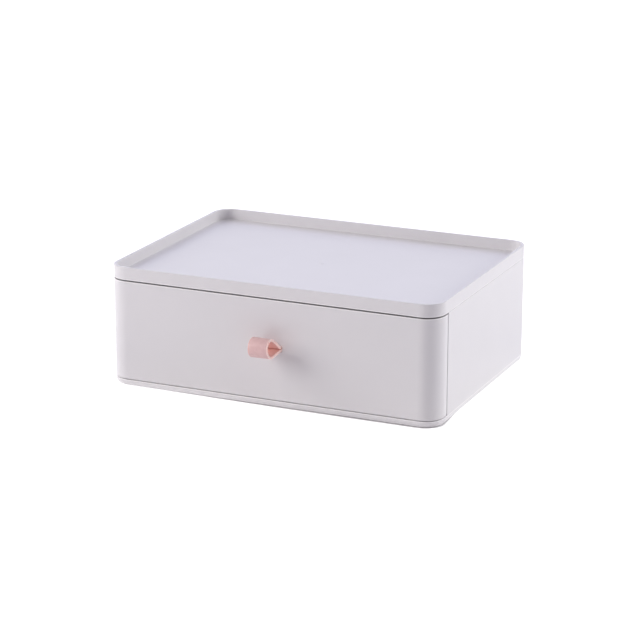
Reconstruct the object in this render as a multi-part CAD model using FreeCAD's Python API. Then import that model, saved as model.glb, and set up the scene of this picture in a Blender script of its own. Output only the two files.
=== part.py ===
"""Stackable desk organizer: a low one-drawer cabinet with a tray top.

Millimetres, +Z up. The front faces -Y and +X is to the right. The origin lies under the
middle of the casing, on the surface that the unit stands on.
"""
import FreeCAD, Part
import math
import os

# Overall size of one unit with its feet, and without the pull strap
WIDTH = 235.0
DEPTH = 172.0
HEIGHT = 82.0
CORNER_R = 13.0

# Casing
WALL = 2.2
FLOOR_T = 2.0
SILL_H = 2.8          # top of the front sill above the underside of the floor
EDGE_R = 2.8          # rounding of the lower outer edge
EDGE_CUT = 1.0        # height of that rounding that the flat underside takes off
SIDE_RETURN = 18.1    # front of the side walls behind the front face
SEAM_R = 0.35         # small rounding of every edge that borders a seam
PLINTH_INSET = 0.8
PLINTH_H = 0.8
FOOT_RING_H = 0.5     # reach of the foot ring below the plinth, into the rim of a unit below
FOOT_RING_W = 3.0
NEST_GAP = 0.2        # foot ring to that rim

# Foot pads
PAD_D = 10.0
PAD_T = 1.5
PAD_PROUD = 0.1
PAD_FIT = 0.1
PAD_INSET = 15.0      # pad centre from the side and from the front or back
PAD_BOSS_W = 2.0

# Top tray
BAND_H = 8.8          # rim top to the seat on the casing walls
PLUG_H = 0.55         # reach of the tray floor below that seat
TRAY_T = 1.95
LID_FIT = 0.15
RIM_OUTER_R = 0.4
RIM_INNER_R = 0.4
TRAY_INNER_R = 0.6
LIP_T = 1.2
LIP_H = 1.2
LIP_SETBACK = 10.0
LIP_CLEAR = 0.15      # lip to the back of the closed drawer
SNAP_R = 0.65
SNAP_PROUD = 0.5
SNAP_LENGTH = 10.0
SNAP_FIT = 0.1
SNAP_PITCH_SIDE = 50.0
SNAP_PITCH_BACK = 70.0
GATE_D = 2.0
GATE_H = 0.2

# Drawer
FRONT_GAP_TOP = 0.85
FRONT_GAP_BOTTOM = 0.65
FRONT_GAP_SIDE = 1.0
FRONT_T = 2.2
BOX_WALL = 1.8
BOX_FLOOR = 2.0
BOX_RIM_R = 0.6
BOX_OUTER_R = 1.0
BOX_INNER_R = 2.5
HEADROOM = 0.4        # drawer box to the stop ribs, and stop lugs to the tray
SIDE_GAP = 0.7        # box side to casing wall, away from the guide pads
RUN_GAP = 0.1         # clearance at every face that guides the drawer

# Runners, guides and stops
RUNNER_W = 3.0
RUNNER_INSET = 37.5
GUIDE_L = 8.0
GUIDE_H = 40.0
GUIDE_SETBACK = 1.0
STOP_W = 14.0
STOP_INSET = 57.5
LUG_T = 4.0
LUG_DROP = 8.0
RIB_T = 2.0
RIB_H = 1.6
BACK_STOP_W = 8.0
BACK_STOP_H = 20.0
BACK_STOP_INSET = 37.5
TRAVEL = 120.0
STOP_GAP = 0.1        # left between rib and lug at full travel

# Heat stakes that hold the front on the box
STAKE_D = 4.0
STAKE_FIT = 0.1
STAKE_HEAD_D = 7.0
STAKE_HEAD_H = 1.0
STAKE_INSET = 32.5
STAKE_EDGE = 15.0

# Pull strap
STRAP_W = 14.0
STRAP_T = 1.8
STRAP_SLIT = 0.7      # space between the two layers in the slot
STRAP_SHIFT = 2.2     # strap centre to the right of the middle
STRAP_RISE = 1.475    # strap centre above the middle of the front
LOOP_R = 6.1          # centreline of the front bend
LOOP_REACH = 21.6     # front face to the foremost point of the loop
LOOP_RISE = 4.2       # centre of the front bend above the middle of the slot
BEND_R = 1.5          # centreline of both layers' bends at the slot
BEND_OUT = 0.6
TAIL = 9.0            # length of both ends behind the box wall
SLOT_FIT = 0.15
SLOT_SIDE = 0.6
SLOT_R = 0.4

# Keeper plate and rivets behind the front
KEEPER_W = 24.0
KEEPER_H = 14.0
KEEPER_T = 2.0
TONGUE_SHORT = 0.5
RIVET_D = 2.5
RIVET_FIT = 0.05
RIVET_HEAD_D = 5.0
RIVET_HEAD_H = 1.0
RIVET_PITCH = 8.0

# Levels, from the ground up
RING_BOTTOM = PAD_PROUD
PLINTH_BOTTOM = RING_BOTTOM + FOOT_RING_H
UNDERSIDE = PLINTH_BOTTOM + PLINTH_H
FLOOR_TOP = UNDERSIDE + FLOOR_T
SILL_TOP = UNDERSIDE + SILL_H
LID_SEAT = HEIGHT - BAND_H
TRAY_UNDER = LID_SEAT - PLUG_H
TRAY_TOP = TRAY_UNDER + TRAY_T
FRONT_BOTTOM = SILL_TOP + FRONT_GAP_BOTTOM
FRONT_TOP = LID_SEAT - FRONT_GAP_TOP
BOX_BOTTOM = SILL_TOP + RUN_GAP
LUG_TOP = TRAY_UNDER - HEADROOM
BOX_TOP = TRAY_UNDER - RIB_H - HEADROOM

# Planes, from front to back and across
HALF_W = WIDTH / 2
HALF_D = DEPTH / 2
FRONT_Y = -HALF_D
OPENING_Y = FRONT_Y + SIDE_RETURN
BOX_FRONT_Y = FRONT_Y + FRONT_T
BOX_BACK_Y = HALF_D - WALL - LID_FIT - LIP_T - LIP_CLEAR
BOX_HALF_W = HALF_W - WALL - SIDE_GAP
BOX_CORNER_R = CORNER_R - WALL - SIDE_GAP
INNER_WALL_Y = BOX_FRONT_Y + BOX_WALL
LUG_FRONT_Y = BOX_BACK_Y - LUG_T
RIB_BACK_Y = LUG_FRONT_Y - TRAVEL - STOP_GAP
BOX_MID_Z = (BOX_BOTTOM + BOX_TOP) / 2

# Strap centre and the levels of its layers
STRAP_X = STRAP_SHIFT
STRAP_Z = (FRONT_BOTTOM + FRONT_TOP) / 2 + STRAP_RISE
LAYER_OFFSET = (STRAP_SLIT + STRAP_T) / 2
STACK_HALF = STRAP_SLIT / 2 + STRAP_T
TAIL_END_Y = INNER_WALL_Y + TAIL
KEEPER_BACK_Y = INNER_WALL_Y + KEEPER_T
TONGUE_END_Y = TAIL_END_Y - TONGUE_SHORT
RIVET_Y = (KEEPER_BACK_Y + TONGUE_END_Y) / 2

REACH = 1.0           # overrun of cutting shapes past the face that they open
NEAR = 0.01           # tolerance when edges are picked by their place


def block(x0, x1, y0, y1, z0, z1):
    """Upright box between two corners."""
    size = (x1 - x0, y1 - y0, z1 - z0)
    return Part.makeBox(*size, FreeCAD.Vector(x0, y0, z0))


def disc(diameter, height, x, y, z):
    """Upright cylinder that stands on the point (x, y, z)."""
    return Part.makeCylinder(diameter / 2, height, FreeCAD.Vector(x, y, z))


def rounded_block(x0, x1, y0, y1, z0, z1, r):
    """Upright block with its four standing edges rounded to radius r."""
    def rim_point(cx, cy, degrees):
        angle = math.radians(degrees)
        return FreeCAD.Vector(cx + r * math.cos(angle), cy + r * math.sin(angle), z0)

    corners = [(x1 - r, y0 + r, -90), (x1 - r, y1 - r, 0),
               (x0 + r, y1 - r, 90), (x0 + r, y0 + r, 180)]
    edges = []
    for i, (cx, cy, start) in enumerate(corners):
        last = rim_point(cx, cy, start + 90)
        arc = Part.Arc(rim_point(cx, cy, start), rim_point(cx, cy, start + 45), last)
        following = corners[(i + 1) % 4]
        edges.append(arc.toShape())
        edges.append(Part.makeLine(last, rim_point(*following)))
    return Part.Face(Part.Wire(edges)).extrude(FreeCAD.Vector(0, 0, z1 - z0))


def outline_block(inset, z0, z1):
    """Block that follows the plan of the unit, drawn in by inset on every side."""
    return rounded_block(-HALF_W + inset, HALF_W - inset, -HALF_D + inset, HALF_D - inset,
                         z0, z1, CORNER_R - inset)


def box_block(inset, z0, z1):
    """Block that follows the plan of the drawer box, drawn in by inset on every side."""
    return rounded_block(-BOX_HALF_W + inset, BOX_HALF_W - inset,
                         BOX_FRONT_Y + inset, BOX_BACK_Y - inset,
                         z0, z1, BOX_CORNER_R - inset)


def edges_at(shape, z):
    """Edges that lie in the level plane z."""
    return [e for e in shape.Edges
            if abs(e.BoundBox.ZMin - z) < NEAR and abs(e.BoundBox.ZMax - z) < NEAR]


def edges_within(edges, half_w, half_d):
    """Edges that stay inside a centred rectangle in plan."""
    return [e for e in edges
            if max(abs(e.BoundBox.XMin), abs(e.BoundBox.XMax)) < half_w + NEAR
            and max(abs(e.BoundBox.YMin), abs(e.BoundBox.YMax)) < half_d + NEAR]


def both_sides(make):
    """The shape that make(side) gives for the left and for the right."""
    return [make(-1), make(1)]


def snap_places():
    """Centre and direction of each snap bump: three on each side and three at the back."""
    face_x = HALF_W - WALL - LID_FIT
    face_y = HALF_D - WALL - LID_FIT
    depth_in = SNAP_R - SNAP_PROUD
    mid_y = (OPENING_Y + LIP_SETBACK + face_y) / 2
    places = []
    for step in (-1, 0, 1):
        along_y = mid_y + step * SNAP_PITCH_SIDE
        along_x = step * SNAP_PITCH_BACK
        places.append((face_x - depth_in, along_y, FreeCAD.Vector(0, 1, 0)))
        places.append((depth_in - face_x, along_y, FreeCAD.Vector(0, 1, 0)))
        places.append((along_x, face_y - depth_in, FreeCAD.Vector(1, 0, 0)))
    return places


def snap_rods(clearance):
    """Round bars at the snap places, larger all round by clearance."""
    z = TRAY_UNDER - LIP_H / 2
    length = SNAP_LENGTH + 2 * clearance
    rods = []
    for x, y, along in snap_places():
        start = FreeCAD.Vector(x, y, z) - along * (length / 2)
        rods.append(Part.makeCylinder(SNAP_R + clearance, length, start, along))
    return rods


def pad_places():
    """Centre of each foot pad, by node name."""
    x = HALF_W - PAD_INSET
    y = HALF_D - PAD_INSET
    return {"foot_pad_front_left": (-x, -y), "foot_pad_front_right": (x, -y),
            "foot_pad_back_left": (-x, y), "foot_pad_back_right": (x, y)}


def casing_blank():
    """Casing with its rounded lower edge, hollow from the floor up, open at the front."""
    low = UNDERSIDE - EDGE_CUT
    solid = outline_block(0, low, LID_SEAT)
    solid = solid.makeFillet(EDGE_R, edges_at(solid, low))
    solid = solid.cut(block(-HALF_W, HALF_W, -HALF_D, HALF_D, low, UNDERSIDE))
    solid = solid.makeFillet(SEAM_R, edges_at(solid, LID_SEAT))
    solid = solid.cut(outline_block(WALL, FLOOR_TOP, LID_SEAT + REACH))
    opening = block(-HALF_W - REACH, HALF_W + REACH, FRONT_Y - REACH, OPENING_Y,
                    SILL_TOP, LID_SEAT + REACH)
    return solid.cut(opening)


def casing_edges(solid):
    """Outer edges of the front opening: along the sill and up both side walls."""
    inside_w = HALF_W - WALL / 2
    inside_d = HALF_D - WALL / 2
    sill = [e for e in edges_at(solid, SILL_TOP)
            if e.BoundBox.YMax < OPENING_Y + NEAR
            and e not in edges_within([e], inside_w, inside_d)]
    posts = [e for e in solid.Edges
             if abs(e.BoundBox.YMax - OPENING_Y) < NEAR and e.BoundBox.YLength < NEAR
             and e.BoundBox.XLength < NEAR and abs(e.BoundBox.Center.x) > inside_w]
    return [e for e in sill if e.Length > WALL + NEAR] + posts


def casing_shell():
    """White casing: walls, floor, front sill, plinth, foot ring, runners and guides."""
    solid = casing_blank()
    solid = solid.makeFillet(SEAM_R, casing_edges(solid))
    ring_inset = WALL + NEST_GAP
    plinth = outline_block(PLINTH_INSET, PLINTH_BOTTOM, UNDERSIDE)
    foot = outline_block(ring_inset, RING_BOTTOM, UNDERSIDE).fuse(plinth)
    added = [foot.cut(outline_block(ring_inset + FOOT_RING_W, RING_BOTTOM, UNDERSIDE))]
    inner_x = HALF_W - WALL
    back_y = HALF_D - WALL
    proud = SIDE_GAP - RUN_GAP
    guide_y = OPENING_Y + GUIDE_SETBACK

    def runner(side):
        x = side * (HALF_W - RUNNER_INSET)
        return block(x - RUNNER_W / 2, x + RUNNER_W / 2, BOX_FRONT_Y, back_y,
                     FLOOR_TOP, SILL_TOP)

    def guide(side):
        x = side * (inner_x - proud / 2)
        return block(x - proud / 2, x + proud / 2, guide_y, guide_y + GUIDE_L,
                     BOX_MID_Z - GUIDE_H / 2, BOX_MID_Z + GUIDE_H / 2)

    def back_stop(side):
        x = side * (HALF_W - BACK_STOP_INSET)
        return block(x - BACK_STOP_W / 2, x + BACK_STOP_W / 2, BOX_BACK_Y + RUN_GAP, back_y,
                     BOX_MID_Z - BACK_STOP_H / 2, BOX_MID_Z + BACK_STOP_H / 2)

    for make in (runner, guide, back_stop):
        added += both_sides(make)
    pocket_d = PAD_D + 2 * PAD_FIT
    pocket_h = PAD_T - PAD_PROUD
    pockets = []
    for x, y in pad_places().values():
        added.append(disc(pocket_d + 2 * PAD_BOSS_W, UNDERSIDE - RING_BOTTOM, x, y, RING_BOTTOM))
        pockets.append(disc(pocket_d, pocket_h, x, y, RING_BOTTOM))
    solid = solid.fuse(added)
    return solid.cut(pockets + snap_rods(SNAP_FIT)).removeSplitter()


def top_tray():
    """White tray that closes the casing: rim, floor, locating lip, snaps and stop ribs."""
    band = outline_block(0, LID_SEAT, HEIGHT)
    band = band.makeFillet(RIM_OUTER_R, edges_at(band, HEIGHT))
    band = band.makeFillet(SEAM_R, edges_at(band, LID_SEAT))
    solid = band.fuse(outline_block(WALL + LID_FIT, TRAY_UNDER, LID_SEAT))
    hollow = outline_block(WALL, TRAY_TOP, HEIGHT + REACH)
    hollow = hollow.makeFillet(TRAY_INNER_R, edges_at(hollow, TRAY_TOP))
    solid = solid.cut(hollow)
    inner_rim = edges_within(edges_at(solid, HEIGHT), HALF_W - WALL, HALF_D - WALL)
    solid = solid.makeFillet(RIM_INNER_R, inner_rim)
    lip_inset = WALL + LID_FIT
    lip_low = TRAY_UNDER - LIP_H
    lip = outline_block(lip_inset, lip_low, TRAY_UNDER)
    lip = lip.cut(outline_block(lip_inset + LIP_T, lip_low, TRAY_UNDER))
    lip = lip.cut(block(-HALF_W, HALF_W, FRONT_Y, OPENING_Y + LIP_SETBACK,
                        lip_low, TRAY_UNDER))

    def rib(side):
        x = side * (HALF_W - STOP_INSET)
        return block(x - STOP_W / 2, x + STOP_W / 2, RIB_BACK_Y - RIB_T, RIB_BACK_Y,
                     TRAY_UNDER - RIB_H, TRAY_UNDER)

    gate = disc(GATE_D, GATE_H, 0, 0, TRAY_TOP)
    solid = solid.fuse([lip, gate] + both_sides(rib) + snap_rods(0))
    return solid.removeSplitter()


def foot_pad(place):
    """Soft disc let into the underside."""
    x, y = place
    return disc(PAD_D, PAD_T, x, y, RING_BOTTOM - PAD_PROUD)


def strap_slot(y0, y1):
    """Block that cuts the strap slot through a wall from y0 to y1."""
    half_w = STRAP_W / 2 + SLOT_SIDE
    half_h = STACK_HALF + SLOT_FIT
    bar = block(STRAP_X - half_w, STRAP_X + half_w, y0, y1,
                STRAP_Z - half_h, STRAP_Z + half_h)
    long_edges = [e for e in bar.Edges if e.BoundBox.YLength > NEAR]
    return bar.makeFillet(SLOT_R, long_edges)


def stake_places():
    """Centre of each heat stake in the plane of the front."""
    x = HALF_W - STAKE_INSET
    low = FRONT_BOTTOM + STAKE_EDGE
    high = FRONT_TOP - STAKE_EDGE
    return [(-x, low), (x, low), (-x, high), (x, high)]


def stake_rods(diameter, y0, y1):
    """Round bars along Y at the heat stake places."""
    return [Part.makeCylinder(diameter / 2, y1 - y0, FreeCAD.Vector(x, y0, z),
                              FreeCAD.Vector(0, 1, 0))
            for x, z in stake_places()]


def drawer_front():
    """White front panel that wraps round both front corners."""
    solid = outline_block(0, FRONT_BOTTOM, FRONT_TOP)
    end_y = OPENING_Y - FRONT_GAP_SIDE
    behind = block(-HALF_W - REACH, HALF_W + REACH, end_y, HALF_D + REACH,
                   FRONT_BOTTOM - REACH, FRONT_TOP + REACH)
    solid = solid.cut(behind)
    ends = [e for e in solid.Edges
            if e.BoundBox.ZLength > NEAR and e.BoundBox.XLength < NEAR
            and abs(e.BoundBox.YMax - end_y) < NEAR and e.BoundBox.YLength < NEAR]
    borders = [e for e in edges_at(solid, FRONT_BOTTOM) + edges_at(solid, FRONT_TOP)
               if e.BoundBox.YMin < end_y - NEAR]
    solid = solid.makeFillet(SEAM_R, borders + ends)
    solid = solid.cut(outline_block(FRONT_T, FRONT_BOTTOM - REACH, FRONT_TOP + REACH))
    solid = solid.cut(strap_slot(FRONT_Y - REACH, BOX_FRONT_Y + REACH))
    shanks = stake_rods(STAKE_D, BOX_FRONT_Y, INNER_WALL_Y)
    heads = stake_rods(STAKE_HEAD_D, INNER_WALL_Y, INNER_WALL_Y + STAKE_HEAD_H)
    return solid.fuse(shanks + heads).removeSplitter()


def drawer_box():
    """White open box that slides in the casing, with stop lugs and guide pads."""
    solid = box_block(0, BOX_BOTTOM, BOX_TOP)
    solid = solid.makeFillet(BOX_OUTER_R, edges_at(solid, BOX_BOTTOM))
    inside_low = BOX_BOTTOM + BOX_FLOOR
    hollow = box_block(BOX_WALL, inside_low, BOX_TOP + REACH)
    hollow = hollow.makeFillet(BOX_INNER_R, edges_at(hollow, inside_low))
    solid = solid.cut(hollow)
    solid = solid.makeFillet(BOX_RIM_R, edges_at(solid, BOX_TOP))

    def lug(side):
        x = side * (HALF_W - STOP_INSET)
        foot = BOX_TOP - LUG_DROP
        side_view = [(BOX_BACK_Y, LUG_TOP), (LUG_FRONT_Y, LUG_TOP),
                     (LUG_FRONT_Y, foot + LUG_T), (BOX_BACK_Y, foot)]
        points = [FreeCAD.Vector(x - STOP_W / 2, y, z) for y, z in side_view]
        return Part.Face(Part.makePolygon(points + points[:1])).extrude(
            FreeCAD.Vector(STOP_W, 0, 0))

    def guide(side):
        proud = SIDE_GAP - RUN_GAP
        x = side * (BOX_HALF_W + proud / 2)
        y1 = BOX_BACK_Y - BOX_CORNER_R
        return block(x - proud / 2, x + proud / 2, y1 - GUIDE_L, y1,
                     BOX_MID_Z - GUIDE_H / 2, BOX_MID_Z + GUIDE_H / 2)

    solid = solid.fuse(both_sides(lug) + both_sides(guide))
    holes = stake_rods(STAKE_D + 2 * STAKE_FIT, BOX_FRONT_Y - REACH, INNER_WALL_Y + REACH)
    slot = strap_slot(BOX_FRONT_Y - REACH, INNER_WALL_Y + REACH)
    return solid.cut(holes + [slot]).removeSplitter()


def strap_path():
    """Centreline of the strap as straight runs and tangent arcs, seen from +X.

    Each point is (distance in front of the front face, height). Returns the key points:
    upper end, start, middle and end of the upper bend, start, middle and end of the loop,
    end, middle and start of the lower bend, and lower end.
    """
    upper = STRAP_Z + LAYER_OFFSET
    lower = STRAP_Z - LAYER_OFFSET
    end_out = FRONT_Y - TAIL_END_Y
    loop = (LOOP_REACH - STRAP_T / 2 - LOOP_R, STRAP_Z + LOOP_RISE)

    def slope(rise):
        run = loop[0] - BEND_OUT
        return math.atan2(rise, run) + math.asin((BEND_R + LOOP_R) / math.hypot(run, rise))

    def on_upper(angle):
        return (BEND_OUT + BEND_R * math.sin(angle), upper + BEND_R - BEND_R * math.cos(angle))

    def on_lower(angle):
        return (BEND_OUT + BEND_R * math.sin(angle), lower - BEND_R + BEND_R * math.cos(angle))

    def on_loop(angle):
        return (loop[0] - LOOP_R * math.sin(angle), loop[1] + LOOP_R * math.cos(angle))

    climb = slope(loop[1] - upper - BEND_R)
    drop = slope(lower - BEND_R - loop[1])
    last = -math.pi - drop
    return [(end_out, upper), on_upper(0), on_upper(climb / 2), on_upper(climb),
            on_loop(climb), on_loop((climb + last) / 2), on_loop(last),
            on_lower(drop), on_lower(drop / 2), on_lower(0), (end_out, lower)]


def pull_strap():
    """Leather strap folded to a drop-shaped loop, with both ends through the slot."""
    points = [FreeCAD.Vector(0, FRONT_Y - out, z) for out, z in strap_path()]
    end_top, u0, u1, u2, l0, l1, l2, d2, d1, d0, end_low = points
    edges = [Part.makeLine(end_top, u0), Part.Arc(u0, u1, u2).toShape(),
             Part.makeLine(u2, l0), Part.Arc(l0, l1, l2).toShape(),
             Part.makeLine(l2, d2), Part.Arc(d2, d1, d0).toShape(),
             Part.makeLine(d0, end_low)]
    sides = []
    for offset in (STRAP_T / 2, -STRAP_T / 2):
        sides.append(offset_path(edges, offset))
    ends = [Part.makeLine(sides[0][0].Vertexes[0].Point, sides[1][0].Vertexes[0].Point),
            Part.makeLine(sides[0][-1].Vertexes[-1].Point, sides[1][-1].Vertexes[-1].Point)]
    wire = Part.Wire(Part.sortEdges(sides[0] + sides[1] + ends)[0])
    wire.translate(FreeCAD.Vector(STRAP_X - STRAP_W / 2, 0, 0))
    solid = Part.Face(wire).extrude(FreeCAD.Vector(STRAP_W, 0, 0))
    return solid.cut(rivet_shanks(RIVET_D + 2 * RIVET_FIT))


def offset_path(edges, offset):
    """The tangent path moved sideways by offset, as edges of the same kinds."""
    moved = []
    for edge in edges:
        first, last = edge.FirstParameter, edge.LastParameter
        shifted = []
        for share in (0.0, 0.5, 1.0):
            at = first + share * (last - first)
            along = edge.tangentAt(at).normalize()
            sideways = FreeCAD.Vector(0, -along.z, along.y)
            shifted.append(edge.valueAt(at) + sideways * offset)
        if edge.Curve.TypeId == "Part::GeomLine":
            moved.append(Part.makeLine(shifted[0], shifted[2]))
        else:
            moved.append(Part.Arc(*shifted).toShape())
    return moved


def rivet_places():
    """Centre of each rivet, left then right."""
    return [STRAP_X - RIVET_PITCH / 2, STRAP_X + RIVET_PITCH / 2]


def rivet_shanks(diameter):
    """Upright bars through both strap ends at the rivet places."""
    return [disc(diameter, 2 * STACK_HALF, x, RIVET_Y, STRAP_Z - STACK_HALF)
            for x in rivet_places()]


def strap_keeper():
    """Plate behind the box wall, with a tongue between the two strap ends."""
    plate = block(STRAP_X - KEEPER_W / 2, STRAP_X + KEEPER_W / 2, INNER_WALL_Y, KEEPER_BACK_Y,
                  STRAP_Z - KEEPER_H / 2, STRAP_Z + KEEPER_H / 2)
    standing = [e for e in plate.Edges if e.BoundBox.YLength > NEAR]
    plate = plate.makeFillet(SLOT_R, standing)
    plate = plate.cut(strap_slot(INNER_WALL_Y - REACH, KEEPER_BACK_Y + REACH))
    bridge = block(STRAP_X - STRAP_W / 2 - SLOT_SIDE, STRAP_X + STRAP_W / 2 + SLOT_SIDE,
                   INNER_WALL_Y, KEEPER_BACK_Y,
                   STRAP_Z - STRAP_SLIT / 2, STRAP_Z + STRAP_SLIT / 2)
    tongue = block(STRAP_X - STRAP_W / 2, STRAP_X + STRAP_W / 2, KEEPER_BACK_Y, TONGUE_END_Y,
                   STRAP_Z - STRAP_SLIT / 2, STRAP_Z + STRAP_SLIT / 2)
    solid = plate.fuse([bridge, tongue])
    return solid.cut(rivet_shanks(RIVET_D + 2 * RIVET_FIT)).removeSplitter()


def strap_rivet(x):
    """Steel rivet with a flat head above and below the strap ends."""
    low = STRAP_Z - STACK_HALF
    high = STRAP_Z + STACK_HALF
    head_low = disc(RIVET_HEAD_D, RIVET_HEAD_H, x, RIVET_Y, low - RIVET_HEAD_H)
    head_high = disc(RIVET_HEAD_D, RIVET_HEAD_H, x, RIVET_Y, high)
    shank = disc(RIVET_D, high - low, x, RIVET_Y, low)
    return shank.fuse([head_low, head_high]).removeSplitter()


def build():
    """Every piece of the unit, by node name."""
    left_x, right_x = rivet_places()
    pieces = {
        "casing_shell": casing_shell(),
        "top_tray": top_tray(),
        "drawer_front": drawer_front(),
        "drawer_box": drawer_box(),
        "pull_strap": pull_strap(),
        "strap_keeper": strap_keeper(),
        "strap_rivet_left": strap_rivet(left_x),
        "strap_rivet_right": strap_rivet(right_x),
    }
    for name, place in pad_places().items():
        pieces[name] = foot_pad(place)
    return pieces


os.makedirs("parts", exist_ok=True)
for node, piece in build().items():
    piece.exportStep("parts/" + node + ".step")
    print(node, "volume", round(piece.Volume, 1), "solids", len(piece.Solids))
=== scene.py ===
"""Dresses the desk organizer drawer unit and stands it in a pale studio.

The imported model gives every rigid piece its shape. This script gives the pieces their finishes,
models the leather strap, its rivets and the soft feet, and sets the floor, lamps and camera.
"""

import logging
import math
from dataclasses import dataclass, field
from enum import Enum

import bmesh
import bpy
from mathutils import Matrix, Vector


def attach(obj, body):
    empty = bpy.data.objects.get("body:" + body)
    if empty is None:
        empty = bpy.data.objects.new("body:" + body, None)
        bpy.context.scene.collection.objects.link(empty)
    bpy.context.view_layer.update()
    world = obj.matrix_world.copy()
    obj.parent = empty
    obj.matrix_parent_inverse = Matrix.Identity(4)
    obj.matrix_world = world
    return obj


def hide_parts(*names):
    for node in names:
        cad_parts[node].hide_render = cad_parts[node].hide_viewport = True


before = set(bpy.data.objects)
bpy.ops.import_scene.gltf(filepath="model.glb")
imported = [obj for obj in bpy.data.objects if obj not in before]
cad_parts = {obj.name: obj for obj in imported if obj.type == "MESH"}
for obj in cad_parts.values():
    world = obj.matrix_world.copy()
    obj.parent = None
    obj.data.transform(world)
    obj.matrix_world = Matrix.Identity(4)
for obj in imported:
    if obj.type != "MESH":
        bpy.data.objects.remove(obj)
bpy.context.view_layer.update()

MM = 0.001
LOG = logging.getLogger("organizer")

Colour = tuple[float, float, float]
Point2 = tuple[float, float]

SHARP_ANGLE = math.radians(35)
# Painted highlight for the thin band beside a seam, where a rounded edge would catch light.
PAINTED_EDGE_HIGHLIGHT: Colour = (0.97, 0.96, 0.97)
# Painted shade for the inside of a seam.
SEAM_SHADE: Colour = (0.08, 0.08, 0.08)


class StrapFace(Enum):
    """The faces of the strap that have a finish of their own, with their material slot."""

    GRAIN = 0
    FLESH = 1
    EDGE = 2
    # The left cut edge carries a painted highlight.
    LEFT_EDGE_PAINTED_HIGHLIGHT = 3


class NodeSheet:
    """Adds and joins the nodes of one material or world."""

    def __init__(self, tree: bpy.types.NodeTree) -> None:
        """Empties the tree.

        Args:
            tree: the node tree to build in.
        """
        self.tree = tree
        tree.nodes.clear()

    def add(self, kind: str, **settings: object) -> bpy.types.Node:
        """Adds one node.

        Args:
            kind: the node's type name.
            settings: attributes of the node, or values of its inputs by name, where spaces in
                the input's name are written as underscores.

        Returns:
            The new node.
        """
        node = self.tree.nodes.new(kind)
        for key, value in settings.items():
            if key.startswith("in_"):
                node.inputs[key[3:].replace("_", " ")].default_value = value
            else:
                setattr(node, key, value)
        return node

    def join(self, source: bpy.types.NodeSocket, target: bpy.types.NodeSocket) -> None:
        """Joins an output to an input.

        Args:
            source: the output socket.
            target: the input socket.
        """
        self.tree.links.new(source, target)


def new_sheet(name: str) -> tuple[bpy.types.Material, NodeSheet]:
    """Starts a material.

    Args:
        name: the material's name.

    Returns:
        The material and the sheet for its nodes.
    """
    material = bpy.data.materials.new(name)
    material.use_nodes = True
    return material, NodeSheet(material.node_tree)


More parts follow.
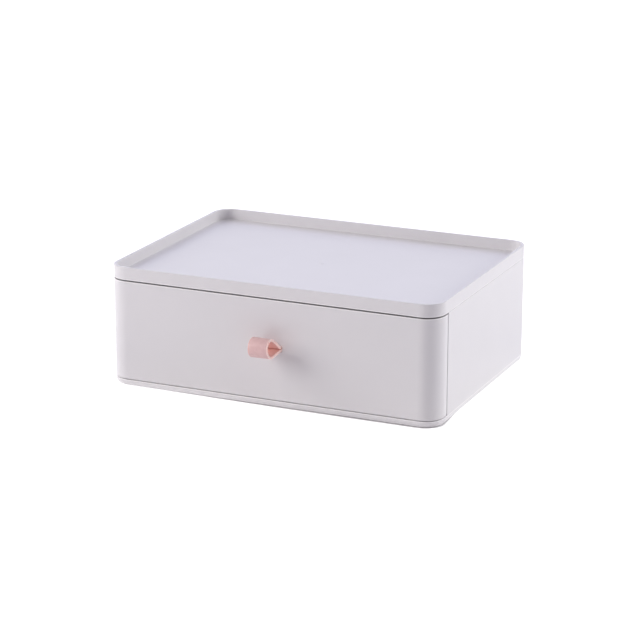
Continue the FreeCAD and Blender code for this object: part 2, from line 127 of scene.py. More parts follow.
@dataclass(frozen=True)
class MouldedPlastic:
    """White injection-moulded plastic with a fine even skin.

    Lengths are in millimetres.
    """

    name: str
    colour: Colour
    roughness: float
    skin_size: float = 0.35
    skin_depth: float = 0.006
    cloud_size: float = 38.0
    cloud_drop: float = 0.02
    gate_ring: bool = False
    gate_ring_radius: float = 13.0
    gate_ring_depth: float = 0.05
    # Level bands of painted highlight and painted shade, as (lowest, highest, colour).
    bands: tuple[tuple[float, float, Colour], ...] = ()
    band_fade: float = 0.12

    def material(self) -> bpy.types.Material:
        """Builds the material: faint colour clouds, level bands of painted highlight and painted
        shade, uneven gloss and a fine skin.

        Returns:
            The finished material.
        """
        material, sheet = new_sheet(self.name)
        output = sheet.add("ShaderNodeOutputMaterial")
        shader = sheet.add("ShaderNodeBsdfPrincipled", in_IOR=1.49)
        place = sheet.add("ShaderNodeTexCoord")
        clouds = sheet.add("ShaderNodeTexNoise", in_Scale=1 / (self.cloud_size * MM),
                           in_Detail=2.0)
        sheet.join(place.outputs["Object"], clouds.inputs["Vector"])
        tint = sheet.add("ShaderNodeValToRGB")
        darker = tuple(channel * (1 - self.cloud_drop) for channel in self.colour)
        tint.color_ramp.elements[0].position = 0.3
        tint.color_ramp.elements[0].color = (*darker, 1.0)
        tint.color_ramp.elements[1].position = 0.7
        tint.color_ramp.elements[1].color = (*self.colour, 1.0)
        sheet.join(clouds.outputs["Fac"], tint.inputs["Fac"])
        colour = tint.outputs["Color"]
        for low, high, shade in self.bands:
            colour = self.add_band(sheet, place, colour, (low, high), shade)
        sheet.join(colour, shader.inputs["Base Color"])
        gloss = sheet.add("ShaderNodeMapRange", in_To_Min=self.roughness * 0.92,
                          in_To_Max=self.roughness * 1.08)
        sheet.join(clouds.outputs["Fac"], gloss.inputs["Value"])
        sheet.join(gloss.outputs["Result"], shader.inputs["Roughness"])
        skin = sheet.add("ShaderNodeTexNoise", in_Scale=1 / (self.skin_size * MM),
                         in_Detail=3.0)
        sheet.join(place.outputs["Object"], skin.inputs["Vector"])
        bump = sheet.add("ShaderNodeBump", in_Strength=0.35,
                         in_Distance=self.skin_depth * MM)
        sheet.join(skin.outputs["Fac"], bump.inputs["Height"])
        normal = bump.outputs["Normal"]
        if self.gate_ring:
            normal = self.add_gate_ring(sheet, place, normal)
        sheet.join(normal, shader.inputs["Normal"])
        sheet.join(shader.outputs["BSDF"], output.inputs["Surface"])
        return material

    def add_band(self, sheet: NodeSheet, place: bpy.types.Node, colour: bpy.types.NodeSocket,
                 levels: Point2, shade: Colour) -> bpy.types.NodeSocket:
        """Paints a level band, such as a painted highlight beside a seam and painted shade inside
        a seam.

        Args:
            sheet: the material's nodes.
            place: the texture coordinate node.
            colour: the colour so far.
            levels: the band's lowest and highest level.
            shade: the band's colour.

        Returns:
            The colour with the band.
        """
        split = sheet.add("ShaderNodeSeparateXYZ")
        sheet.join(place.outputs["Object"], split.inputs[0])
        share = sheet.add("ShaderNodeMath", operation="MULTIPLY")
        for i, (level, side) in enumerate(zip(levels, (-1, 1))):
            fade = sheet.add("ShaderNodeMapRange", in_To_Min=1.0, in_To_Max=0.0,
                             in_From_Min=level * MM,
                             in_From_Max=(level + side * self.band_fade) * MM)
            sheet.join(split.outputs["Z"], fade.inputs["Value"])
            sheet.join(fade.outputs["Result"], share.inputs[i])
        mix = sheet.add("ShaderNodeMix", data_type="RGBA")
        first, second, result = mix.inputs[6], mix.inputs[7], mix.outputs[2]
        second.default_value = (*shade, 1.0)
        sheet.join(share.outputs[0], mix.inputs["Factor"])
        sheet.join(colour, first)
        return result

    def add_gate_ring(self, sheet: NodeSheet, place: bpy.types.Node,
                      normal: bpy.types.NodeSocket) -> bpy.types.NodeSocket:
        """Adds the shallow ring that the moulding gate leaves around the middle.

        Args:
            sheet: the material's nodes.
            place: the texture coordinate node.
            normal: the normal so far.

        Returns:
            The normal with the ring.
        """
        flat = sheet.add("ShaderNodeVectorMath", operation="MULTIPLY")
        flat.inputs[1].default_value = (1.0, 1.0, 0.0)
        sheet.join(place.outputs["Object"], flat.inputs[0])
        reach = sheet.add("ShaderNodeVectorMath", operation="LENGTH")
        sheet.join(flat.outputs["Vector"], reach.inputs[0])
        wave = sheet.add("ShaderNodeValToRGB")
        ramp = wave.color_ramp
        ramp.interpolation = "B_SPLINE"
        for position, height in ((0.0, 0.45), (0.35, 0.5), (0.5, 0.75), (0.65, 0.42)):
            element = ramp.elements.new(position) if position else ramp.elements[0]
            element.position = position
            element.color = (height, height, height, 1.0)
        ramp.elements[-1].color = (0.5, 0.5, 0.5, 1.0)
        span = sheet.add("ShaderNodeMapRange", in_From_Max=2 * self.gate_ring_radius * MM)
        sheet.join(reach.outputs["Value"], span.inputs["Value"])
        sheet.join(span.outputs["Result"], wave.inputs["Fac"])
        bump = sheet.add("ShaderNodeBump", in_Strength=1.0,
                         in_Distance=self.gate_ring_depth * MM)
        sheet.join(wave.outputs["Color"], bump.inputs["Height"])
        sheet.join(normal, bump.inputs["Normal"])
        return bump.outputs["Normal"]


@dataclass(frozen=True)
class Leather:
    """Soft pink leather, for its grain side, its flesh side or its cut edges.

    Lengths are in millimetres. The share light_through scatters inside the leather, and glow is
    painted light: an emission in the leather's colour, though the leather is no lamp.
    """

    name: str
    colour: Colour
    shade: Colour
    roughness: float
    grain_size: float
    grain_depth: float
    sheen: float = 0.15
    light_through: float = 0.0
    light_depth: float = 2.0
    glow: float = 0.0

    def material(self) -> bpy.types.Material:
        """Builds the material: pores and fine creases over mottled colour.

        Returns:
            The finished material.
        """
        material, sheet = new_sheet(self.name)
        output = sheet.add("ShaderNodeOutputMaterial")
        shader = sheet.add("ShaderNodeBsdfPrincipled", in_IOR=1.45,
                           in_Sheen_Weight=self.sheen, in_Sheen_Roughness=0.5,
                           in_Subsurface_Weight=self.light_through,
                           in_Subsurface_Scale=self.light_depth * MM,
                           in_Subsurface_Radius=(1.0, 0.8, 0.75),
                           in_Emission_Color=(*self.colour, 1.0),
                           in_Emission_Strength=self.glow)
        place = sheet.add("ShaderNodeTexCoord")
        mottle = sheet.add("ShaderNodeTexNoise", in_Scale=1 / (3.0 * MM), in_Detail=4.0)
        pores = sheet.add("ShaderNodeTexVoronoi", in_Scale=1 / (self.grain_size * MM))
        fibre = sheet.add("ShaderNodeTexNoise", in_Scale=1 / (self.grain_size * 0.4 * MM),
                          in_Detail=5.0)
        for texture in (mottle, pores, fibre):
            sheet.join(place.outputs["Object"], texture.inputs["Vector"])
        tint = sheet.add("ShaderNodeValToRGB")
        tint.color_ramp.elements[0].position = 0.35
        tint.color_ramp.elements[0].color = (*self.shade, 1.0)
        tint.color_ramp.elements[1].position = 0.62
        tint.color_ramp.elements[1].color = (*self.colour, 1.0)
        sheet.join(mottle.outputs["Fac"], tint.inputs["Fac"])
        sheet.join(tint.outputs["Color"], shader.inputs["Base Color"])
        gloss = sheet.add("ShaderNodeMapRange", in_To_Min=self.roughness * 0.88,
                          in_To_Max=self.roughness * 1.12)
        sheet.join(fibre.outputs["Fac"], gloss.inputs["Value"])
        sheet.join(gloss.outputs["Result"], shader.inputs["Roughness"])
        grain = sheet.add("ShaderNodeBump", in_Strength=0.6,
                          in_Distance=self.grain_depth * MM)
        sheet.join(pores.outputs["Distance"], grain.inputs["Height"])
        creases = sheet.add("ShaderNodeBump", in_Strength=0.5,
                            in_Distance=self.grain_depth * 0.6 * MM)
        sheet.join(fibre.outputs["Fac"], creases.inputs["Height"])
        sheet.join(grain.outputs["Normal"], creases.inputs["Normal"])
        sheet.join(creases.outputs["Normal"], shader.inputs["Normal"])
        sheet.join(shader.outputs["BSDF"], output.inputs["Surface"])
        return material


@dataclass(frozen=True)
class PlatedSteel:
    """Zinc-plated steel with a fine turned grain. Lengths are in millimetres."""

    name: str
    colour: Colour
    roughness: float
    grain_size: float = 0.25

    def material(self) -> bpy.types.Material:
        """Builds the material: metal with an uneven dull plating.

        Returns:
            The finished material.
        """
        material, sheet = new_sheet(self.name)
        output = sheet.add("ShaderNodeOutputMaterial")
        shader = sheet.add("ShaderNodeBsdfPrincipled", in_Metallic=1.0)
        place = sheet.add("ShaderNodeTexCoord")
        grain = sheet.add("ShaderNodeTexNoise", in_Scale=1 / (self.grain_size * MM),
                          in_Detail=4.0)
        sheet.join(place.outputs["Object"], grain.inputs["Vector"])
        tint = sheet.add("ShaderNodeValToRGB")
        darker = tuple(channel * 0.86 for channel in self.colour)
        tint.color_ramp.elements[0].color = (*darker, 1.0)
        tint.color_ramp.elements[1].color = (*self.colour, 1.0)
        sheet.join(grain.outputs["Fac"], tint.inputs["Fac"])
        sheet.join(tint.outputs["Color"], shader.inputs["Base Color"])
        gloss = sheet.add("ShaderNodeMapRange", in_To_Min=self.roughness * 0.8,
                          in_To_Max=self.roughness * 1.2)
        sheet.join(grain.outputs["Fac"], gloss.inputs["Value"])
        sheet.join(gloss.outputs["Result"], shader.inputs["Roughness"])
        bump = sheet.add("ShaderNodeBump", in_Strength=0.3, in_Distance=0.01 * MM)
        sheet.join(grain.outputs["Fac"], bump.inputs["Height"])
        sheet.join(bump.outputs["Normal"], shader.inputs["Normal"])
        sheet.join(shader.outputs["BSDF"], output.inputs["Surface"])
        return material


@dataclass(frozen=True)
class SoftRubber:
    """Soft light rubber with a dusty skin. Lengths are in millimetres."""

    name: str
    colour: Colour
    roughness: float = 0.75
    grain_size: float = 0.2

    def material(self) -> bpy.types.Material:
        """Builds the material: a dull skin with fine grain.

        Returns:
            The finished material.
        """
        material, sheet = new_sheet(self.name)
        output = sheet.add("ShaderNodeOutputMaterial")
        shader = sheet.add("ShaderNodeBsdfPrincipled", in_IOR=1.5)
        place = sheet.add("ShaderNodeTexCoord")
        grain = sheet.add("ShaderNodeTexNoise", in_Scale=1 / (self.grain_size * MM),
                          in_Detail=4.0)
        sheet.join(place.outputs["Object"], grain.inputs["Vector"])
        tint = sheet.add("ShaderNodeValToRGB")
        darker = tuple(channel * 0.88 for channel in self.colour)
        tint.color_ramp.elements[0].color = (*darker, 1.0)
        tint.color_ramp.elements[1].color = (*self.colour, 1.0)
        sheet.join(grain.outputs["Fac"], tint.inputs["Fac"])
        sheet.join(tint.outputs["Color"], shader.inputs["Base Color"])
        gloss = sheet.add("ShaderNodeMapRange", in_To_Min=self.roughness * 0.9,
                          in_To_Max=self.roughness * 1.1)
        sheet.join(grain.outputs["Fac"], gloss.inputs["Value"])
        sheet.join(gloss.outputs["Result"], shader.inputs["Roughness"])
        bump = sheet.add("ShaderNodeBump", in_Strength=0.5, in_Distance=0.02 * MM)
        sheet.join(grain.outputs["Fac"], bump.inputs["Height"])
        sheet.join(bump.outputs["Normal"], shader.inputs["Normal"])
        sheet.join(shader.outputs["BSDF"], output.inputs["Surface"])
        return material


def dress(node: str, material: bpy.types.Material) -> None:
    """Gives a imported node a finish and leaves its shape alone.

    Args:
        node: the node's name.
        material: the finish.
    """
    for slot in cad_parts[node].material_slots:
        slot.material = material
    LOG.info("%s dressed in %s", node, material.name)


def finish_mesh(mesh: bmesh.types.BMesh, name: str,
                materials: list[bpy.types.Material]) -> bpy.types.Object:
    """Turns a bmesh into a smooth-shaded object in the scene.

    Args:
        mesh: the shape, in metres. It is freed.
        name: the object's name.
        materials: the finishes, by slot.

    Returns:
        The new object.
    """
    bmesh.ops.recalc_face_normals(mesh, faces=mesh.faces)
    for face in mesh.faces:
        face.smooth = True
    for edge in mesh.edges:
        if len(edge.link_faces) == 2 and edge.calc_face_angle() > SHARP_ANGLE:
            edge.smooth = False
    data = bpy.data.meshes.new(name)
    mesh.to_mesh(data)
    mesh.free()
    for material in materials:
        data.materials.append(material)
    piece = bpy.data.objects.new(name, data)
    bpy.context.scene.collection.objects.link(piece)
    return piece


def turned_mesh(profile: list[Point2], steps: int) -> bmesh.types.BMesh:
    """Turns a profile about the Z axis into a closed shape.

    Args:
        profile: (radius, height) points in millimetres. The first and the last have radius 0.
        steps: the number of steps round.

    Returns:
        The closed shape, in metres.
    """
    mesh = bmesh.new()
    rings: list[list[bmesh.types.BMVert]] = []
    for radius, height in profile:
        if radius == 0:
            rings.append([mesh.verts.new((0, 0, height * MM))])
            continue
        rings.append([mesh.verts.new((radius * MM * math.cos(2 * math.pi * i / steps),
                                      radius * MM * math.sin(2 * math.pi * i / steps),
                                      height * MM)) for i in range(steps)])
    for low, high in zip(rings, rings[1:]):
        for i in range(steps):
            j = (i + 1) % steps
            corners = [low[i % len(low)], low[j % len(low)],
                       high[j % len(high)], high[i % len(high)]]
            mesh.faces.new(list(dict.fromkeys(corners)))
    return mesh


@dataclass(frozen=True)
class RepeatedPiece:
    """A geometry node tree that sets copies of one piece on a level grid."""

    name: str
    columns: int
    rows: int
    pitch_x: float
    pitch_y: float
    centre: tuple[float, float, float]

    def tree(self) -> bpy.types.GeometryNodeTree:
        """Builds the node tree with named inputs for its sizes.

        Returns:
            The tree.
        """
        tree = bpy.data.node_groups.new(self.name, "GeometryNodeTree")
        face = tree.interface
        face.new_socket("Geometry", in_out="INPUT", socket_type="NodeSocketGeometry")
        for label, kind in (("Piece", "NodeSocketObject"), ("Columns", "NodeSocketInt"),
                            ("Rows", "NodeSocketInt"), ("Pitch X", "NodeSocketFloat"),
                            ("Pitch Y", "NodeSocketFloat"), ("Centre", "NodeSocketVector"),
                            ("Finish", "NodeSocketMaterial")):
            face.new_socket(label, in_out="INPUT", socket_type=kind)
        face.new_socket("Geometry", in_out="OUTPUT", socket_type="NodeSocketGeometry")
        sheet = NodeSheet(tree)
        given = sheet.add("NodeGroupInput")
        result = sheet.add("NodeGroupOutput")
        grid = sheet.add("GeometryNodeMeshGrid")
        for label, count, pitch, size in (("X", "Columns", "Pitch X", "Size X"),
                                          ("Y", "Rows", "Pitch Y", "Size Y")):
            steps = sheet.add("ShaderNodeMath", operation="SUBTRACT")
            steps.inputs[1].default_value = 1.0
            span = sheet.add("ShaderNodeMath", operation="MULTIPLY")
            sheet.join(given.outputs[count], steps.inputs[0])
            sheet.join(steps.outputs[0], span.inputs[0])
            sheet.join(given.outputs[pitch], span.inputs[1])
            sheet.join(span.outputs[0], grid.inputs[size])
            sheet.join(given.outputs[count], grid.inputs["Vertices " + label])
        shift = sheet.add("GeometryNodeTransform")
        sheet.join(grid.outputs["Mesh"], shift.inputs["Geometry"])
        sheet.join(given.outputs["Centre"], shift.inputs["Translation"])
        pick = sheet.add("GeometryNodeObjectInfo")
        sheet.join(given.outputs["Piece"], pick.inputs["Object"])
        copies = sheet.add("GeometryNodeInstanceOnPoints")
        sheet.join(shift.outputs["Geometry"], copies.inputs["Points"])
        sheet.join(pick.outputs["Geometry"], copies.inputs["Instance"])
        real = sheet.add("GeometryNodeRealizeInstances")
        sheet.join(copies.outputs["Instances"], real.inputs["Geometry"])
        finish = sheet.add("GeometryNodeSetMaterial")
        sheet.join(real.outputs["Geometry"], finish.inputs["Geometry"])
        sheet.join(given.outputs["Finish"], finish.inputs["Material"])
        sheet.join(finish.outputs["Geometry"], result.inputs["Geometry"])
        return tree

    def make(self, pattern: bpy.types.Object,
             material: bpy.types.Material) -> bpy.types.Object:
        """Makes the copies as one plain mesh and removes the pattern.

        Args:
            pattern: the piece to copy, at the origin.
            material: the finish of the copies.

        Returns:
            The finished piece.
        """
        tree = self.tree()
        carrier = bpy.data.objects.new(self.name, bpy.data.meshes.new(self.name + "_carrier"))
        bpy.context.scene.collection.objects.link(carrier)
        modifier = carrier.modifiers.new("Copies", "NODES")
        modifier.node_group = tree
        values = {"Piece": pattern, "Columns": self.columns, "Rows": self.rows,
                  "Pitch X": self.pitch_x * MM, "Pitch Y": self.pitch_y * MM,
                  "Centre": tuple(c * MM for c in self.centre), "Finish": material}
        for item in tree.interface.items_tree:
            if item.in_out == "INPUT" and item.name in values:
                modifier[item.identifier] = values[item.name]
        carrier.update_tag()
        bpy.context.view_layer.update()
        graph = bpy.context.evaluated_depsgraph_get()
        made = bpy.data.meshes.new_from_object(carrier.evaluated_get(graph), depsgraph=graph)
        carrier.modifiers.remove(modifier)
        carrier.data = made
        made.name = self.name
        bpy.data.objects.remove(pattern)
        return carrier


@dataclass
class Cabinet:
    """The white casing with its tray and soft feet. Lengths are in millimetres."""

    body: str = "casing"
    pad_diameter: float = 10.0
    pad_thickness: float = 1.5
    pad_edge: float = 0.25
    pad_grooves: int = 3
    groove_depth: float = 0.15
    pad_pitch_x: float = 205.0
    pad_pitch_y: float = 142.0
    # The shell has a painted highlight at the sill seam's level all round; the tray has a painted
    # highlight above its seam and painted shade on its underside in the seam.
    shell: MouldedPlastic = field(default_factory=lambda: MouldedPlastic(
        "white_satin_shell", (0.80, 0.788, 0.806), 0.36, bands=((3.8, 4.2, PAINTED_EDGE_HIGHLIGHT),)))
    tray: MouldedPlastic = field(default_factory=lambda: MouldedPlastic(
        "white_satin_tray", (0.80, 0.788, 0.806), 0.36, gate_ring=True,
        bands=((73.4, 73.85, PAINTED_EDGE_HIGHLIGHT), (72.0, 73.22, SEAM_SHADE))))
    rubber: SoftRubber = field(default_factory=lambda: SoftRubber(
        "pale_foot_rubber", (0.62, 0.62, 0.61)))

    def build(self) -> None:
        """Dresses the casing and the tray, and makes the feet."""
        dress("casing_shell", self.shell.material())
        dress("top_tray", self.tray.material())
        self.make_feet()

    def pad_profile(self) -> list[Point2]:
        """The outline of one foot from its middle below to its middle above.

        Returns:
            (radius, height) points.
        """
        radius = self.pad_diameter / 2
        points: list[Point2] = [(0.0, 0.0)]
        ridge = (radius - 1.0) / self.pad_grooves
        for i in range(self.pad_grooves):
            middle = (i + 0.75) * ridge
            for shift, height in ((-0.32, 0.0), (-0.2, self.groove_depth),
                                  (0.2, self.groove_depth), (0.32, 0.0)):
                points.append((middle + shift, height))
        for i in range(5):
            turn = math.pi / 2 * i / 4
            points.append((radius - self.pad_edge * (1 - math.sin(turn)),
                           self.pad_edge * (1 - math.cos(turn))))
        points.append((radius, self.pad_thickness - 0.1))
        points.append((radius - 0.1, self.pad_thickness))
        points.append((0.0, self.pad_thickness))
        return points

    def make_feet(self) -> None:
        """Makes the four feet with their grip grooves as one piece."""
        pattern = finish_mesh(turned_mesh(self.pad_profile(), 48), "foot_pattern", [])
        layout = RepeatedPiece("soft_feet", 2, 2, self.pad_pitch_x, self.pad_pitch_y,
                               (0.0, 0.0, 0.0))
        feet = layout.make(pattern, self.rubber.material())
        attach(feet, self.body)
        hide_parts("foot_pad_front_left", "foot_pad_front_right",
                    "foot_pad_back_left", "foot_pad_back_right")
        LOG.info("soft_feet made")


@dataclass
class Drawer:
    """The drawer with its front, leather strap and rivets. Lengths are in millimetres."""

    body: str = "drawer"
    front_y: float = -86.0
    strap_x: float = 2.2
    strap_z: float = 40.075
    strap_width: float = 14.0
    strap_thickness: float = 1.8
    strap_slit: float = 0.7
    loop_radius: float = 6.1
    loop_reach: float = 21.6
    loop_rise: float = 4.2
    lean_right: float = 0.22
    lean_left: float = 0.05
    left_short: float = 0.6
    left_sag: float = 0.6
    bend_radius: float = 1.5
    bend_out: float = 0.6
    tail_end_y: float = -73.0
    strap_edge: float = 0.45
    strap_step: float = 1.2
    sway_start: float = 2.0
    sway_span: float = 10.0
    rivet_y: float = -76.75
    rivet_pitch: float = 8.0
    rivet_diameter: float = 2.5
    rivet_head: float = 5.0
    rivet_head_height: float = 1.0
    # The front has a painted highlight just below its top seam.
    front: MouldedPlastic = field(default_factory=lambda: MouldedPlastic(
        "white_satin_front", (0.80, 0.788, 0.806), 0.36,
        bands=((71.75, 72.15, PAINTED_EDGE_HIGHLIGHT),)))
    box: MouldedPlastic = field(default_factory=lambda: MouldedPlastic(
        "white_matt_box", (0.8, 0.8, 0.81), 0.5, skin_size=0.5, skin_depth=0.012))
    keeper: MouldedPlastic = field(default_factory=lambda: MouldedPlastic(
        "white_matt_keeper", (0.78, 0.78, 0.79), 0.5))
    grain: Leather = field(default_factory=lambda: Leather(
        "pink_leather_grain", (0.82, 0.56, 0.55), (0.77, 0.51, 0.50), 0.5, 0.45, 0.02))
    # The flesh side glows faintly: painted light that brightens the strap's inside.
    flesh: Leather = field(default_factory=lambda: Leather(
        "pink_leather_flesh", (0.86, 0.52, 0.47), (0.79, 0.45, 0.40), 0.85, 0.3, 0.025,
        sheen=0.3, glow=0.05))
    # The right cut edge glows: painted light that brightens the edge band.
    edge: Leather = field(default_factory=lambda: Leather(
        "pink_leather_edge", (0.84, 0.62, 0.58), (0.78, 0.55, 0.51), 0.7, 0.3, 0.006,
        light_through=1.0, glow=0.25))
    # The left cut edge is a brighter, redder copy of the edge finish: a painted highlight where
    # the left lamp grazes it.
    left_edge_painted_highlight: Leather = field(default_factory=lambda: Leather(
        "pink_leather_painted_highlight_edge", (0.93, 0.50, 0.40), (0.88, 0.44, 0.35), 0.7, 0.3, 0.006,
        light_through=1.0))
    steel: PlatedSteel = field(default_factory=lambda: PlatedSteel(
        "plated_rivet_steel", (0.62, 0.62, 0.64), 0.32))

    def build(self) -> None:
        """Dresses the drawer's rigid pieces, and makes the strap and its rivets."""
        dress("drawer_front", self.front.material())
        dress("drawer_box", self.box.material())
        dress("strap_keeper", self.keeper.material())
        self.make_strap()
        self.make_rivets()

    def strap_line(self) -> list[tuple[Vector, Vector]]:
        """The strap's middle line from its upper end, round the loop, to its lower end.

        Returns:
            Points and outward directions as (y, z) vectors in millimetres.
        """
        layer = (self.strap_slit + self.strap_thickness) / 2
        small, large = self.bend_radius, self.loop_radius
        high = Vector((self.bend_out, self.strap_z + layer + small))
        low = Vector((self.bend_out, self.strap_z - layer - small))
        loop = Vector((self.loop_reach - self.strap_thickness / 2 - large,
                       self.strap_z + self.loop_rise))
        tail = self.front_y - self.tail_end_y

        def slope(rise: float) -> float:
            """The slope of the straight run that touches a small bend and the loop."""
            reach = loop.x - self.bend_out
            return math.atan2(rise, reach) + math.asin(
                (small + large) / math.hypot(reach, rise))

        def arc(centre: Vector, radius: float, side: Point2, first: float, last: float,
                count: int) -> list[Vector]:
            """Points round a centre, from one turn to another.

            Args:
                centre: the centre of the bend.
                radius: the radius of the bend.
                side: the directions in which the turn moves the point along y and z.
                first: the first turn, in radians.
                last: the last turn, in radians.
                count: the number of steps.

            Returns:
                The points.
            """
            turns = (first + (last - first) * i / count for i in range(count + 1))
            return [centre + radius * Vector((side[0] * math.sin(a), side[1] * math.cos(a)))
                    for a in turns]

        def run(start: Vector, end: Vector) -> list[Vector]:
            """Even steps between two points, without the points themselves."""
            count = max(2, round((end - start).length / self.strap_step))
            return [start.lerp(end, i / count) for i in range(1, count)]

        climb = slope(loop.y - high.y)
        drop = slope(low.y - loop.y)
        upper = arc(high, small, (1, -1), 0, climb, 10)
        front = arc(loop, large, (-1, 1), climb, -math.pi - drop, 48)
        lower = arc(low, small, (1, 1), drop, 0, 4)
        start = Vector((tail, upper[0].y))
        end = Vector((tail, lower[-1].y))
        line = [start, *run(start, upper[0]), *upper, *run(upper[-1], front[0]), *front,
                *run(front[-1], lower[0]), *lower, *run(lower[-1], end), end]
        result = []
        for i, point in enumerate(line):
            along = line[min(i + 1, len(line) - 1)] - line[max(i - 1, 0)]
            along.normalize()
            outward = Vector((-along.y, along.x))
            result.append((Vector((self.front_y - point.x, point.y)),
                           Vector((-outward.x, outward.y))))
        return result

    def strap_section(self) -> list[tuple[float, float, StrapFace]]:
        """The strap's cross-section with rounded edges.

        Returns:
            (across, outward, face that starts there) points in order.
        """
        half_w = self.strap_width / 2
        half_t = self.strap_thickness / 2
        r = self.strap_edge
        points: list[tuple[float, float, StrapFace]] = []
        for cx, cy, start, face in ((half_w - r, half_t - r, 0, StrapFace.GRAIN),
                                    (r - half_w, half_t - r, 90, StrapFace.LEFT_EDGE_PAINTED_HIGHLIGHT),
                                    (r - half_w, r - half_t, 180, StrapFace.FLESH),
                                    (half_w - r, r - half_t, 270, StrapFace.EDGE)):
            for i in range(5):
                turn = math.radians(start + 90 * i / 4)
                edge = StrapFace.EDGE if cx > 0 else StrapFace.LEFT_EDGE_PAINTED_HIGHLIGHT
                kind = face if i == 4 else edge
                points.append((cx + r * math.cos(turn), cy + r * math.sin(turn), kind))
        return points

    def sway(self, across: float, place: Vector) -> Vector:
        """Leans the loop's top outward and lets its left end hang lower, as soft leather does.

        Args:
            across: the distance to the right of the strap's middle.
            place: a point of the even strap as (y, z), in millimetres.

        Returns:
            The moved point. Points in the slot and behind it stay.
        """
        out = self.front_y - place.x - self.sway_start
        share = min(max(out / self.sway_span, 0.0), 1.0)
        share *= share * (3 - 2 * share)
        left = 0.5 - across / self.strap_width
        rise = place.y - self.strap_z - self.loop_rise
        lean = (self.lean_right * (1 - left) + self.lean_left * left) * rise
        sag = self.left_sag * left * (0.5 + rise / (2 * self.loop_radius))
        return place - share * Vector((lean - self.left_short * left, sag))

    def make_strap(self) -> None:
        """Makes the folded strap with its own finish on each face."""
        section = self.strap_section()
        mesh = bmesh.new()
        rings = []
        for point, outward in self.strap_line():
            ring = []
            for across, out, _ in section:
                place = self.sway(across, point + outward * out)
                ring.append(mesh.verts.new(((self.strap_x + across) * MM,
                                            place.x * MM, place.y * MM)))
            rings.append(ring)
        count = len(section)
        for first, second in zip(rings, rings[1:]):
            for i in range(count):
                j = (i + 1) % count
                face = mesh.faces.new((first[i], first[j], second[j], second[i]))
                face.material_index = section[i][2].value
        for ring in (rings[0], rings[-1]):
            mesh.faces.new(ring).material_index = StrapFace.EDGE.value
        strap = finish_mesh(mesh, "leather_strap", [
            finish.material() for finish in (self.grain, self.flesh, self.edge,
                                             self.left_edge_painted_highlight)])
        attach(strap, self.body)
        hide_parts("pull_strap")
        LOG.info("leather_strap made")

    def rivet_profile(self) -> list[Point2]:
        """The outline of one rivet from the middle below to the middle above.

        Returns:
            (radius, height) points.
        """
        half = self.strap_thickness + self.strap_slit / 2
        radius = self.rivet_head / 2
        rise = self.rivet_head_height
        dome = []
        for i in range(7):
            turn = math.pi / 2 * i / 6
            dome.append((radius * math.sin(turn), 0.45 * rise * math.cos(turn)))
        lower = [(r, -(half + 0.55 * rise + h)) for r, h in dome]
        upper = [(r, half + 0.55 * rise + h) for r, h in reversed(dome)]
        shank = self.rivet_diameter / 2
        middle = [(radius, -half), (shank, -half), (shank, half), (radius, half)]
        return lower + middle + upper

    def make_rivets(self) -> None:
        """Makes both rivets as one piece."""
        pattern = finish_mesh(turned_mesh(self.rivet_profile(), 32), "rivet_pattern", [])
        layout = RepeatedPiece("strap_rivets", 2, 1, self.rivet_pitch, 0.0,
                               (self.strap_x, self.rivet_y, self.strap_z))
        rivets = layout.make(pattern, self.steel.material())
        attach(rivets, self.body)
        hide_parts("strap_rivet_left", "strap_rivet_right")
        LOG.info("strap_rivets made")


@dataclass(frozen=True)
class Lamp:
    """One square soft lamp that points at the middle of the unit."""

    name: str
    place: tuple[float, float, float]
    size: float
    power: float
    colour: Colour

    def make(self) -> None:
        """Adds the lamp to the scene."""
        light = bpy.data.lights.new(self.name, "AREA")
        light.shape = "SQUARE"
        light.size = self.size
        light.energy = self.power
        light.color = self.colour
        lamp = bpy.data.objects.new(self.name, light)
        lamp.location = self.place
        toward = Vector((0.0, 0.0, 0.04)) - Vector(self.place)
        lamp.rotation_euler = toward.to_track_quat("-Z", "Y").to_euler()
        bpy.context.scene.collection.objects.link(lamp)


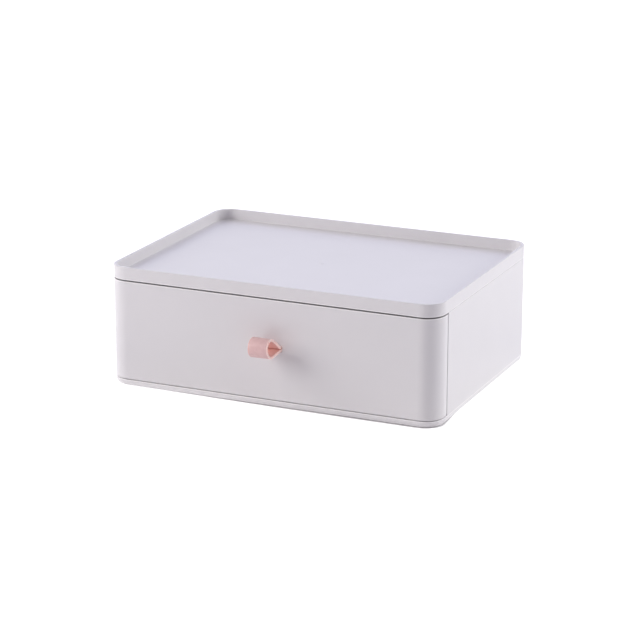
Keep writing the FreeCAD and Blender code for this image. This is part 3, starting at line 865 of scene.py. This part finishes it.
@dataclass
class Studio:
    """The floor, the lamps, the surrounding light and the camera."""

    floor_size: float = 10.0
    floor_colour: Colour = (0.96, 0.96, 0.96)
    floor_lift: float = 0.7
    footprint: tuple[float, float, float] = (235.0, 172.0, 13.0)
    contact_start: float = 0.0
    contact_end: float = 1.2
    spill: float = 2.6
    spill_left: Point2 = (-100.0, 20.0)
    spill_right: Point2 = (112.0, 114.0)
    spill_back: Point2 = (-80.0, -35.0)
    # The floor beside the foot glows for every ray: painted light that brightens the unit's foot.
    foot_glow: float = 0.35
    foot_glow_reach: float = 6.0
    ambient: Colour = (0.288, 0.266, 0.298)
    azimuth: float = 23.85578
    elevation: float = 16.81057
    roll: float = 0.08528
    distance: float = 1657.07
    shift_right: float = -1.32
    shift_up: float = -4.80
    look_height: float = 40.0
    lens: float = 137.53
    lamps: list[Lamp] = field(default_factory=lambda: [
        Lamp("lamp_left", (-1.336, -0.936, 0.801), 1.1, 19.2, (1.0, 0.975, 0.945)),
        Lamp("lamp_right", (1.413, 0.816, 0.801), 1.1, 16.4, (1.0, 1.0, 0.98)),
        Lamp("lamp_back", (-0.472, 1.296, 1.197), 1.1, 6.2, (0.51, 0.58, 1.0)),
    ])

    def build(self) -> None:
        """Makes the whole studio."""
        self.make_floor()
        self.make_surround()
        for lamp in self.lamps:
            lamp.make()
        self.make_camera()
        bpy.context.scene.view_settings.view_transform = "Standard"
        LOG.info("studio made with %d lamps", len(self.lamps))

    def make_floor(self) -> None:
        """Makes the pale floor, which shows white and keeps the unit's shadow."""
        mesh = bmesh.new()
        bmesh.ops.create_grid(mesh, x_segments=8, y_segments=8, size=self.floor_size / 2)
        data = bpy.data.meshes.new("studio_floor")
        mesh.to_mesh(data)
        mesh.free()
        material, sheet = new_sheet("pale_floor")
        output = sheet.add("ShaderNodeOutputMaterial")
        cloth = sheet.add("ShaderNodeBsdfDiffuse", in_Color=(*self.floor_colour, 1.0))
        glow = sheet.add("ShaderNodeEmission")
        ray = sheet.add("ShaderNodeLightPath")
        seen = self.direct_rays(sheet, ray)
        strength, near = self.beside_unit(sheet)
        share = sheet.add("ShaderNodeMath", operation="MAXIMUM")
        sheet.join(seen, share.inputs[0])
        sheet.join(near, share.inputs[1])
        lift = sheet.add("ShaderNodeMath", operation="MULTIPLY")
        sheet.join(share.outputs[0], lift.inputs[0])
        sheet.join(strength, lift.inputs[1])
        sheet.join(lift.outputs[0], glow.inputs["Strength"])
        both = sheet.add("ShaderNodeAddShader")
        sheet.join(cloth.outputs["BSDF"], both.inputs[0])
        sheet.join(glow.outputs["Emission"], both.inputs[1])
        sheet.join(both.outputs["Shader"], output.inputs["Surface"])
        data.materials.append(material)
        floor = bpy.data.objects.new("studio_floor", data)
        bpy.context.scene.collection.objects.link(floor)

    def beside_unit(self, sheet: NodeSheet) -> tuple[bpy.types.NodeSocket, ...]:
        """Finds how strongly the floor is lifted: not under the unit's front, fully beside it.

        Args:
            sheet: the floor's nodes.

        Returns:
            The strength of the lift, and the share of it that also lights the unit's foot.
        """
        radius = self.footprint[2] * MM
        place = sheet.add("ShaderNodeTexCoord")
        mirrored = sheet.add("ShaderNodeVectorMath", operation="ABSOLUTE")
        sheet.join(place.outputs["Object"], mirrored.inputs[0])
        past = sheet.add("ShaderNodeVectorMath", operation="SUBTRACT")
        past.inputs[1].default_value = (self.footprint[0] * MM / 2 - radius,
                                        self.footprint[1] * MM / 2 - radius, 0.0)
        sheet.join(mirrored.outputs["Vector"], past.inputs[0])
        corner = sheet.add("ShaderNodeVectorMath", operation="MAXIMUM")
        sheet.join(past.outputs["Vector"], corner.inputs[0])
        reach = sheet.add("ShaderNodeVectorMath", operation="LENGTH")
        sheet.join(corner.outputs["Vector"], reach.inputs[0])
        split = sheet.add("ShaderNodeSeparateXYZ")
        sheet.join(place.outputs["Object"], split.inputs[0])

        def ramp(source: bpy.types.NodeSocket, first: Point2,
                 last: Point2) -> bpy.types.NodeSocket:
            """Fades between two (place in millimetres, value) points.

            Args:
                source: the place.
                first: the point that the fade starts at.
                last: the point that it ends at.

            Returns:
                The faded value.
            """
            node = sheet.add("ShaderNodeMapRange", interpolation_type="SMOOTHSTEP",
                             in_From_Min=first[0] * MM, in_From_Max=last[0] * MM,
                             in_To_Min=first[1], in_To_Max=last[1])
            sheet.join(source, node.inputs["Value"])
            return node.outputs["Result"]

        def blend(operation: str, first: bpy.types.NodeSocket,
                  second: bpy.types.NodeSocket) -> bpy.types.NodeSocket:
            """Joins two values by one sum, product or maximum.

            Args:
                operation: the math node's operation.
                first: the first value.
                second: the second value.

            Returns:
                The result.
            """
            node = sheet.add("ShaderNodeMath", operation=operation)
            sheet.join(first, node.inputs[0])
            sheet.join(second, node.inputs[1])
            return node.outputs[0]

        full = self.spill * MM
        right = blend("MULTIPLY", ramp(split.outputs["X"], (self.spill_right[0], 0.0),
                                       (self.spill_right[1], 1.0)),
                      ramp(split.outputs["Y"], (self.spill_back[0], 0.0),
                           (self.spill_back[1], full)))
        left = ramp(split.outputs["X"], (self.spill_left[0], full),
                    (self.spill_left[1], 0.0))
        edge = self.footprint[2]
        reached = blend("ADD", reach.outputs["Value"], blend("MAXIMUM", left, right))
        lift = ramp(reached, (edge + self.contact_start, 0.0),
                    (edge + self.contact_end, self.floor_lift))
        # The glow beside the foot is painted light on the unit's foot.
        near = ramp(reach.outputs["Value"], (edge, self.foot_glow),
                    (edge + self.foot_glow_reach, 0.0))
        return lift, near

    @staticmethod
    def direct_rays(sheet: NodeSheet, ray: bpy.types.Node) -> bpy.types.NodeSocket:
        """Tells the camera's, glossy and transmitted rays from the others.

        Args:
            sheet: the nodes to add to.
            ray: the light path node.

        Returns:
            A value that is 1 for those rays and 0 for the others.
        """
        shiny = sheet.add("ShaderNodeMath", operation="MAXIMUM")
        sheet.join(ray.outputs["Is Glossy Ray"], shiny.inputs[0])
        sheet.join(ray.outputs["Is Transmission Ray"], shiny.inputs[1])
        seen = sheet.add("ShaderNodeMath", operation="MAXIMUM")
        sheet.join(ray.outputs["Is Camera Ray"], seen.inputs[0])
        sheet.join(shiny.outputs[0], seen.inputs[1])
        return seen.outputs[0]

    def make_surround(self) -> None:
        """Lights the scene evenly and shows white behind it."""
        world = bpy.data.worlds.new("pale_surround")
        world.use_nodes = True
        bpy.context.scene.world = world
        sheet = NodeSheet(world.node_tree)
        output = sheet.add("ShaderNodeOutputWorld")
        dim = sheet.add("ShaderNodeBackground", in_Color=(*self.ambient, 1.0))
        white = sheet.add("ShaderNodeBackground", in_Color=(1.0, 1.0, 1.0, 1.0))
        ray = sheet.add("ShaderNodeLightPath")
        blend = sheet.add("ShaderNodeMixShader")
        sheet.join(self.direct_rays(sheet, ray), blend.inputs["Fac"])
        sheet.join(dim.outputs["Background"], blend.inputs[1])
        sheet.join(white.outputs["Background"], blend.inputs[2])
        sheet.join(blend.outputs["Shader"], output.inputs["Surface"])

    def make_camera(self) -> None:
        """Sets the camera where the photograph was taken from, for a square picture."""
        azimuth = math.radians(self.azimuth)
        elevation = math.radians(self.elevation)
        roll = math.radians(self.roll)
        back = Vector((math.sin(azimuth) * math.cos(elevation),
                       -math.cos(azimuth) * math.cos(elevation), math.sin(elevation)))
        level = (-back).cross(Vector((0.0, 0.0, 1.0))).normalized()
        upright = level.cross(-back)
        right = level * math.cos(roll) + upright * math.sin(roll)
        up = upright * math.cos(roll) - level * math.sin(roll)
        place = (Vector((0.0, 0.0, self.look_height)) + right * self.shift_right
                 + up * self.shift_up + back * self.distance)
        camera = bpy.data.cameras.new("camera")
        camera.lens = self.lens
        camera.sensor_width = 36.0
        camera.clip_end = 50.0
        holder = bpy.data.objects.new("camera", camera)
        turn = Matrix((right, up, back)).transposed().to_4x4()
        holder.matrix_world = Matrix.Translation(place * MM) @ turn
        bpy.context.scene.collection.objects.link(holder)
        bpy.context.scene.camera = holder


def main() -> None:
    """Builds the unit and its studio in order."""
    logging.basicConfig(level=logging.INFO, format="%(name)s: %(message)s")
    Cabinet().build()
    Drawer().build()
    Studio().build()


if __name__ == "__main__":
    main()
